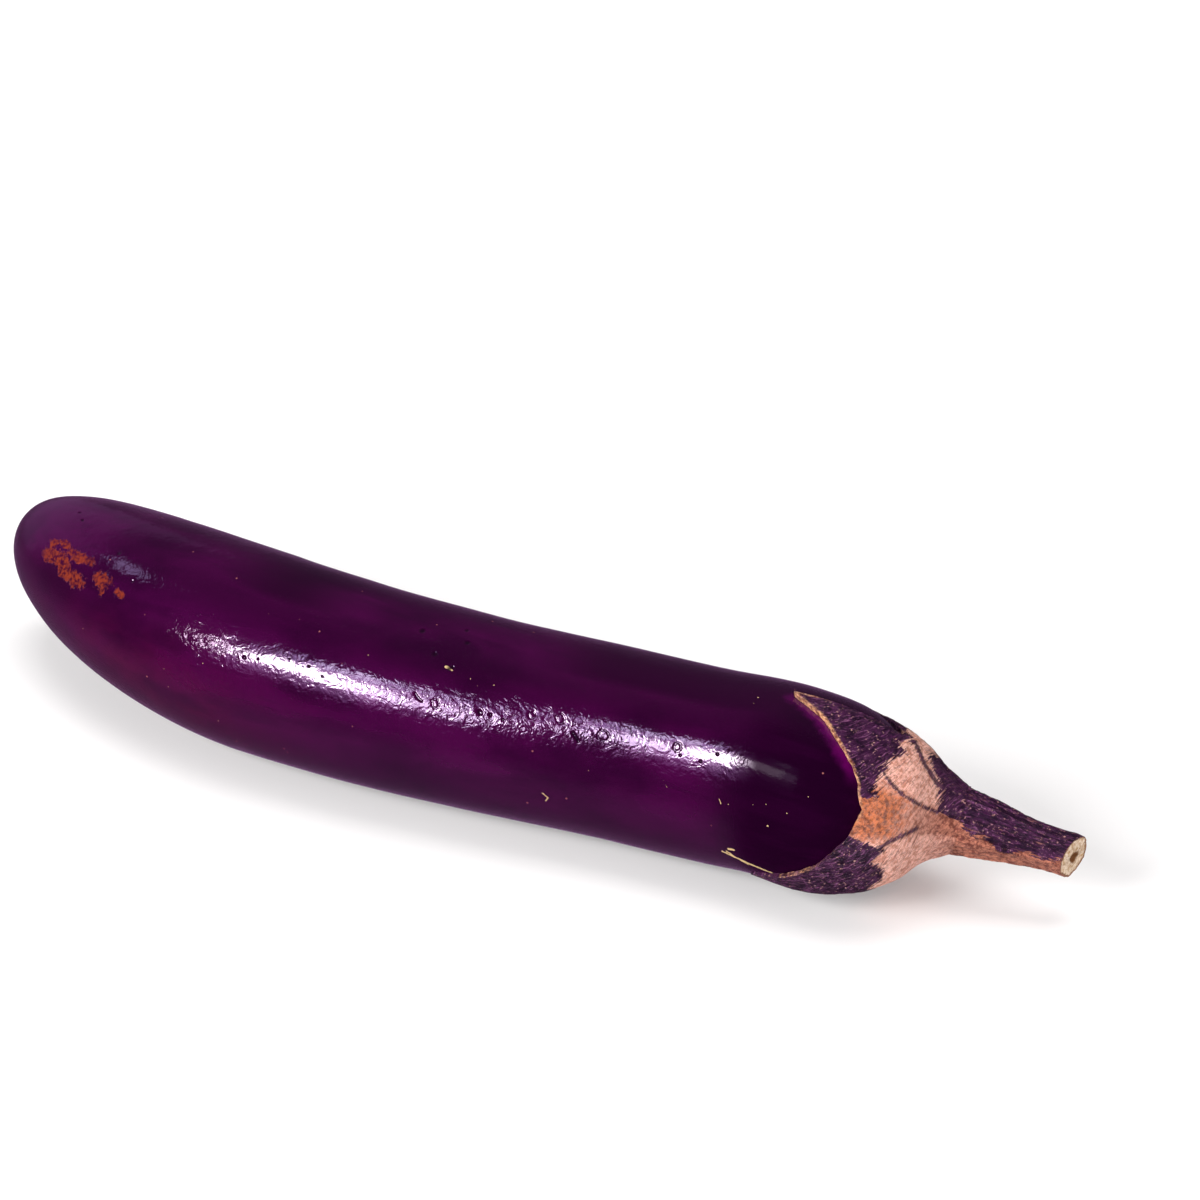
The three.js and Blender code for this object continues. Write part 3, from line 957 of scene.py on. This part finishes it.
def make_stem(material):
    angle = spread(STEM_COLUMNS, 0, 360)[None, :]
    share = np.linspace(0, 1, STEM_ROWS)[:, None]
    slant = CUT_SLANT * np.cos(np.radians(angle - CUT_FACING))
    distance = NECK_END - 1.6 + (STEM_END - 0.35 - CUT_SLANT - slant - NECK_END + 1.6) * share
    angle = angle + 0 * share
    radius = through(STEM_RADIUS, np.maximum(distance, NECK_END))
    plain = on_section(distance, angle, radius)
    flow = np.stack([distance * 0.3, np.radians(angle) * radius, 0 * angle], -1)
    purple = stem_purple(distance, angle)
    fade = 1 - 0.45 * smoothstep(258, 276, distance)
    ridge = 0.7 * fade * stem_ridges(distance, angle)
    wrinkle = 0.22 * (creases(plain * [0.45, 1, 1], 1.5, 3, 53) - 0.5)
    peel = 0.07 * smoothstep(-0.1, 0.3, purple + 0.5 * rough(flow, 1.2, 2, 57))
    knob = 0.25 * bell(distance - 276.2, 1.6)
    tuck = -0.9 * smoothstep(NECK_END + 0.3, NECK_END - 1.6, distance)
    side = on_section(distance, angle, radius + ridge + wrinkle + peel + knob + tuck)

    # The cut: a bark edge, pale flesh a little sunken, and a pith
    end = radius[-1] + ridge[-1] + wrinkle[-1] + peel[-1] + knob[-1]
    cut = []
    cut_share = []
    for i in range(1, CUT_ROWS + 1):
        part = 1 - i / (CUT_ROWS + 1)
        turn = angle[-1]
        spot = np.stack([np.cos(np.radians(turn)) * end * part, np.sin(np.radians(turn)) * end * part,
                         np.zeros(STEM_COLUMNS)], -1)
        face = STEM_END - 0.05 - CUT_SLANT - part * slant[0] - 0.35 * smoothstep(1.0, 0.93, part)
        face = face + 0.14 * rough(spot, 0.9, 2, 61) + 0.15 * smoothstep(0.9, 0.5, part)
        face = face - 0.5 * smoothstep(PITH / end.mean(), PITH / end.mean() * 0.5, part)
        cut.append(on_section(np.minimum(face, STEM_END - 0.02), turn, end * part))
        cut_share.append(np.full(STEM_COLUMNS, part))
    grid = np.concatenate([side, np.array(cut)])
    rows = len(grid)
    points = np.concatenate([grid.reshape(-1, 3), axis_point([STEM_END - 0.6 - CUT_SLANT])])
    last_ring = (rows - 1) * STEM_COLUMNS + np.arange(STEM_COLUMNS)
    quads = grid_faces(rows, STEM_COLUMNS)[:, ::-1]
    piece = build_mesh("stem_stub", within(points), quads, [(rows * STEM_COLUMNS, last_ring)])

    def all_rows(values, cut_values, last):
        return np.concatenate([values.reshape(-1), np.ravel(cut_values), [last]])

    around = np.radians(angle) * 6.0
    share = np.array(cut_share)
    store(
        piece,
        flow=np.stack([
            all_rows(distance, np.full(share.shape, STEM_END), STEM_END),
            all_rows(around, np.repeat(around[-1:], CUT_ROWS, 0), 0),
            0 * all_rows(around, share, 0),
        ], -1),
        purple=all_rows(purple, np.full(share.shape, -9.0), -9),
        cut=all_rows(np.full(distance.shape, 1.0), share, 0),
        angle=all_rows((angle + 90) % 360 - 90, share * 0, 0),
        away=all_rows(distance, np.full(share.shape, STEM_END), STEM_END),
    )
    finish_piece(piece, material, "stem")
    return piece


def stem_material():
    """Woody stem: purple bark over tan, grooved lengthwise, with a pale cut end."""
    s = Shading("stem_bark")
    place = s.place()
    flow = s.vector_field("flow")
    dark, purple_share, speckle, _ = husk_colour(s, place, flow, s.field("purple"))
    tan = husk_tan(s, place, flow, s.field("away"))
    streak = s.step(s.noise(s.stretched(flow, (0.0002, 0.0019, 1.0)), 1100.0, 3.0, 0.7), 0.62, 0.69)
    dark = s.blend(s.times(streak, 0.7), dark, (0.42, 0.17, 0.13))
    groove = s.step(s.noise(s.stretched(flow, (0.00012, 0.0017, 1.0)), 800.0, 2.0, 0.6), 0.52, 0.60)
    dark = s.blend(s.times(groove, 0.9), dark, (0.010, 0.0012, 0.011))
    colour = s.blend(purple_share, tan, dark)
    cut = s.field("cut")
    ragged = s.plus(cut, s.times(s.plus(s.noise(place, 1500.0, 3.0), -0.5), 0.16))
    mottle = s.step(s.noise(place, 1300.0, 3.0, 0.7), 0.35, 0.68)
    flesh = s.blend(mottle, (0.98, 0.80, 0.64), (0.60, 0.34, 0.14))
    flesh = s.blend(s.step(ragged, 0.36, 0.22), flesh, (0.34, 0.12, 0.03))
    flesh = s.blend(s.step(ragged, 0.86, 0.95), flesh, (0.30, 0.13, 0.06))
    colour = s.blend(s.step(cut, 0.995, 0.97), colour, flesh)
    wrinkle = s.noise(s.stretched(flow, (0.0004, 0.0015, 1.0)), 1100.0, 4.0, 0.65, 0.6)
    grain = s.noise(place, 3000.0, 3.0, 0.6)
    normal = s.bump(wrinkle, 0.0007)
    normal = s.bump(purple_share, 0.0001, normal)
    normal = s.bump(grain, 0.0001, normal)
    matt = s.step(purple_share, 0.0, 1.0, 0.62, 0.32)
    roughness = s.plus(s.times(speckle, 0.12), matt)
    return s.close(
        Base_Color=colour, Roughness=roughness, Normal=normal, Specular_IOR_Level=0.5,
    )


# Floor, light and camera

def make_floor():
    half = 4.0
    mesh = bpy.data.meshes.new("floor")
    corners = [(-half, -half, -0.0002), (half, -half, -0.0002), (half, half, -0.0002), (-half, half, -0.0002)]
    mesh.from_pydata(corners, [], [(0, 1, 2, 3)])
    floor = bpy.data.objects.new("floor", mesh)
    bpy.context.scene.collection.objects.link(floor)
    s = Shading("pale_floor")
    away = s.add("ShaderNodeVectorMath", {0: s.place()}, operation="LENGTH").outputs["Value"]
    mesh.materials.append(s.close(
        Base_Color=(0.735, 0.73, 0.735, 1), Roughness=0.9, Specular_IOR_Level=0.0,
        Emission_Color=(1.0, 0.99, 1.0, 1), Emission_Strength=s.step(away, 0.2, 1.0, 0.17, 0.9),
    ))
    floor.visible_glossy = False


def softbox(name, azimuth, elevation, distance, width, height, radiance, colour):
    """An area light round the part. Azimuth 0 is the -Y side, and 90 the +X side."""
    target = Vector((-0.02, -0.01, 0.03))
    turn = math.radians(azimuth)
    rise = math.radians(elevation)
    way = Vector((math.sin(turn) * math.cos(rise), -math.cos(turn) * math.cos(rise), math.sin(rise)))
    light = bpy.data.lights.new(name, "AREA")
    light.shape = "RECTANGLE"
    light.size = width
    light.size_y = height
    light.energy = 4 * width * height * radiance
    light.color = colour
    lamp = bpy.data.objects.new(name, light)
    lamp.location = target + way * distance
    lamp.rotation_euler = (-way).to_track_quat("-Z", "Y").to_euler()
    bpy.context.scene.collection.objects.link(lamp)
    return lamp


def make_world():
    """A soft white surround for diffuse light, and a dim studio in the skin's reflections."""
    world = bpy.data.worlds.new("studio")
    bpy.context.scene.world = world
    world.use_nodes = True
    tree = world.node_tree
    tree.nodes.clear()
    ray = add_node(tree, "ShaderNodeLightPath").outputs
    way = add_node(tree, "ShaderNodeTexCoord").outputs["Generated"]
    split = add_node(tree, "ShaderNodeSeparateXYZ", {0: way}).outputs
    back = add_node(tree, "ShaderNodeMapRange", {
        "Value": split["Y"], "From Min": -0.5, "From Max": 0.6, "To Min": 0.008, "To Max": 0.07,
    })
    below = add_node(tree, "ShaderNodeMapRange", {
        "Value": split["Z"], "From Min": -0.15, "From Max": -0.55,
    })

    def mix(share, first, second):
        inputs = {0: share, 2: first, 3: second}
        return add_node(tree, "ShaderNodeMix", inputs, data_type="FLOAT").outputs[0]

    glossy = mix(below.outputs["Result"], back.outputs["Result"], 0.13)
    strength = mix(ray["Is Glossy Ray"], 0.26, glossy)
    shown = mix(ray["Is Camera Ray"], strength, 1.0)
    tint = add_node(tree, "ShaderNodeMix", {
        0: ray["Is Glossy Ray"], 6: (0.99, 0.985, 1.0, 1), 7: (0.92, 0.50, 0.95, 1),
    }, data_type="RGBA")
    background = add_node(tree, "ShaderNodeBackground", {
        "Color": tint.outputs[2], "Strength": shown,
    })
    add_node(tree, "ShaderNodeOutputWorld", {"Surface": background.outputs[0]})


def make_lights():
    """Soft lamps that light the surfaces, and tinted cards that only their gloss shows."""
    white = (1.0, 0.985, 0.97)
    for name, azimuth, elevation, width, height, radiance in (
        ("front_softbox", -27, 30, 1.5, 1.3, 14.5),
        ("side_softbox", 85, 20, 1.5, 1.5, 3.6),
        ("top_softbox", -155, 82, 2.0, 2.0, 3.4),
    ):
        softbox(name, azimuth, elevation, 3.0, width, height, radiance, white).visible_glossy = False
    for name, azimuth, elevation, width, height, radiance, colour in (
        ("low_core", -25.6, 26, 0.57, 0.48, 34.0, (1.0, 0.84, 1.0)),
        ("low_end", -15.8, 26, 0.46, 0.44, 12.0, (0.86, 0.70, 1.0)),
        ("low_start", -39.5, 24, 0.2, 0.5, 16.0, (1.0, 0.70, 1.0)),
        ("low_halo", -21.5, 25, 1.0, 0.9, 2.6, (0.92, 0.48, 1.0)),
        ("low_veil", -23, 24, 1.2, 1.4, 0.9, (0.80, 0.32, 1.0)),
        ("high_core", -22, 38, 0.38, 0.22, 8.0, (0.85, 0.74, 1.0)),
        ("high_halo", -21.5, 37.5, 0.8, 0.45, 2.6, (0.70, 0.42, 1.0)),
        ("left_card", -118, 12, 2.5, 2.1, 0.1, (0.85, 0.42, 1.0)),
        ("left_heart", -118, 10, 1.6, 1.2, 0.04, (0.85, 0.42, 1.0)),
        ("left_spot", -87, 37, 0.45, 0.32, 1.7, (0.66, 0.50, 1.0)),
        ("right_card", 130, 35, 2.0, 1.5, 0.8, (0.62, 0.50, 1.0)),
    ):
        card = softbox(name, azimuth, elevation, 3.0, width, height, radiance, colour)
        card.visible_diffuse = False


def make_camera():
    lens = bpy.data.cameras.new("camera")
    lens.sensor_width = 36.0
    lens.sensor_fit = "HORIZONTAL"
    lens.lens = 119.4
    lens.clip_start = 0.01
    camera = bpy.data.objects.new("camera", lens)
    camera.location = (0.3891, -0.67285, 0.5)
    look_at = Vector((-0.0193, 0.09085, 0.0))
    camera.rotation_euler = (look_at - camera.location).to_track_quat("-Z", "Y").to_euler()
    bpy.context.scene.collection.objects.link(camera)
    bpy.context.scene.camera = camera


make_camera()
make_world()
make_lights()
make_floor()
make_skin(skin_material())
make_calyx(calyx_material())
make_stem(stem_material())

bpy.context.scene.view_settings.view_transform = "Standard"

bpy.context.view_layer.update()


def plain(box):
    return [[float(x) for x in corner] for corner in box]
